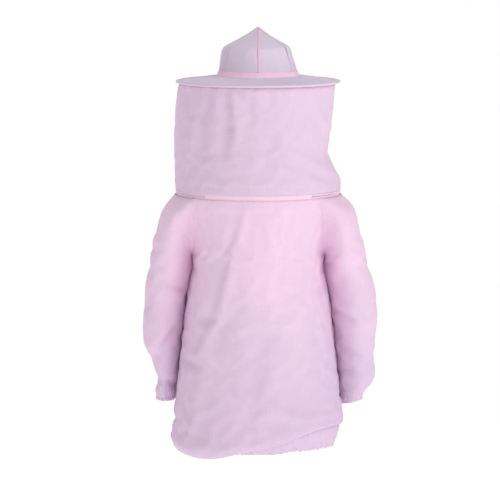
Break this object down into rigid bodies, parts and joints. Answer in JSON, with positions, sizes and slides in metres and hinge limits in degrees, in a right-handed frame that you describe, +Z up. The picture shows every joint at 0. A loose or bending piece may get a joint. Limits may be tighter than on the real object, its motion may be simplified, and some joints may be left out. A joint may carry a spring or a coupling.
{
  "type": "beekeeping jacket",
  "caption": "Cotton beekeeping jacket with a zip-on round veil, brimmed hat, raglan sleeves, elastic cuffs and hem, patch pockets and a front zip, shaped as worn.",
  "frame": {"origin": "centre of the neck ring where the veil meets the jacket, at the height of the wearer's shoulders", "axes": "+Z up, -Y towards the wearer's front, +X towards the wearer's left"},
  "size_m": [0.5662, 0.4119, 1.0414],
  "materials": {
    "pink_cotton": "matt plain-weave cotton, single thickness",
    "deep_pink_cotton": "matt plain-weave cotton, doubled",
    "net": "open black polyester tulle",
    "white_tape": "satin woven ribbon",
    "steel": "nickel-plated zinc and steel",
    "board": "stiff non-woven sheet",
    "elastic": "knitted elastic webbing",
    "zip_teeth": "moulded acetal"
  },
  "bodies": {
    "jacket": {"back_panel": "pink_cotton", "front_panel_left": "pink_cotton", "front_panel_right": "pink_cotton", "shoulder_left": "pink_cotton", "shoulder_right": "pink_cotton", "nape_seam": "deep_pink_cotton", "neck_teeth_lower_left": "zip_teeth", "neck_teeth_lower_right": "zip_teeth", "neck_tape_lower_left": "pink_cotton", "neck_tape_lower_right": "pink_cotton", "front_teeth_left": "zip_teeth", "front_teeth_right": "zip_teeth", "front_tape_left": "pink_cotton", "front_tape_right": "pink_cotton", "front_zip_stop": "steel", "hem_casing": "deep_pink_cotton", "hem_elastic": "elastic", "pocket_left": "pink_cotton", "pocket_right": "pink_cotton", "hanger_loop": "deep_pink_cotton", "size_label": "white_tape"},
    "hood": {"veil_cloth": "pink_cotton", "veil_net": "net", "chin_band": "pink_cotton", "throat_guard": "deep_pink_cotton", "brim_under_cloth": "pink_cotton", "brim_board": "board", "brim_top_cloth": "pink_cotton", "brim_wire": "steel", "brim_binding": "deep_pink_cotton", "crown_gore_1": "pink_cotton", "crown_gore_2": "pink_cotton", "crown_gore_3": "pink_cotton", "crown_gore_4": "pink_cotton", "crown_gore_5": "pink_cotton", "crown_gore_6": "pink_cotton", "sweatband": "elastic", "neck_teeth_upper_left": "zip_teeth", "neck_teeth_upper_right": "zip_teeth", "neck_tape_upper_left": "pink_cotton", "neck_tape_upper_right": "pink_cotton"},
    "left_sleeve": {"sleeve_left": "pink_cotton", "cuff_casing_left": "deep_pink_cotton", "cuff_elastic_left": "elastic"},
    "left_neck_slider": {"neck_slider_left": "steel"},
    "left_neck_pull": {"neck_pull_left": "steel"},
    "right_sleeve": {"sleeve_right": "pink_cotton", "cuff_casing_right": "deep_pink_cotton", "cuff_elastic_right": "elastic"},
    "right_neck_slider": {"neck_slider_right": "steel"},
    "right_neck_pull": {"neck_pull_right": "steel"},
    "zip_slider": {"front_slider": "steel"},
    "zip_pull": {"front_pull": "steel"}
  },
  "joints": [
    {"name": "hood_fold", "type": "hinge", "parent": "jacket", "child": "hood", "pos_m": [0, 0.204, 0], "axis": [-1, 0, 0], "range_deg": [0, 95]},
    {"name": "left_sleeve_raise", "type": "hinge", "parent": "jacket", "child": "left_sleeve", "pos_m": [0.236, 0, -0.07], "axis": [0, -1, 0], "range_deg": [0, 75]},
    {"name": "left_neck_zip", "type": "hinge", "parent": "jacket", "child": "left_neck_slider", "pos_m": [0, 0, 0], "axis": [0, 0, 1], "range_deg": [0, 130]},
    {"name": "left_neck_pull_swing", "type": "hinge", "parent": "left_neck_slider", "child": "left_neck_pull", "pos_m": [0.01803, -0.20606, 0], "axis": [0, 0, -1], "range_deg": [0, 100]},
    {"name": "right_sleeve_raise", "type": "hinge", "parent": "jacket", "child": "right_sleeve", "pos_m": [-0.236, 0, -0.07], "axis": [0, 1, 0], "range_deg": [0, 75]},
    {"name": "right_neck_zip", "type": "hinge", "parent": "jacket", "child": "right_neck_slider", "pos_m": [0, 0, 0], "axis": [0, 0, -1], "range_deg": [0, 130]},
    {"name": "right_neck_pull_swing", "type": "hinge", "parent": "right_neck_slider", "child": "right_neck_pull", "pos_m": [-0.01803, -0.20606, 0], "axis": [0, 0, 1], "range_deg": [0, 100]},
    {"name": "front_zip", "type": "slide", "parent": "jacket", "child": "zip_slider", "axis": [0, 0.0449, -0.999], "range_m": [0, 0.55]},
    {"name": "front_pull_swing", "type": "hinge", "parent": "zip_slider", "child": "zip_pull", "pos_m": [0, -0.2055, -0.03014], "axis": [-1, 0, 0], "range_deg": [0, 100]}
  ]
}
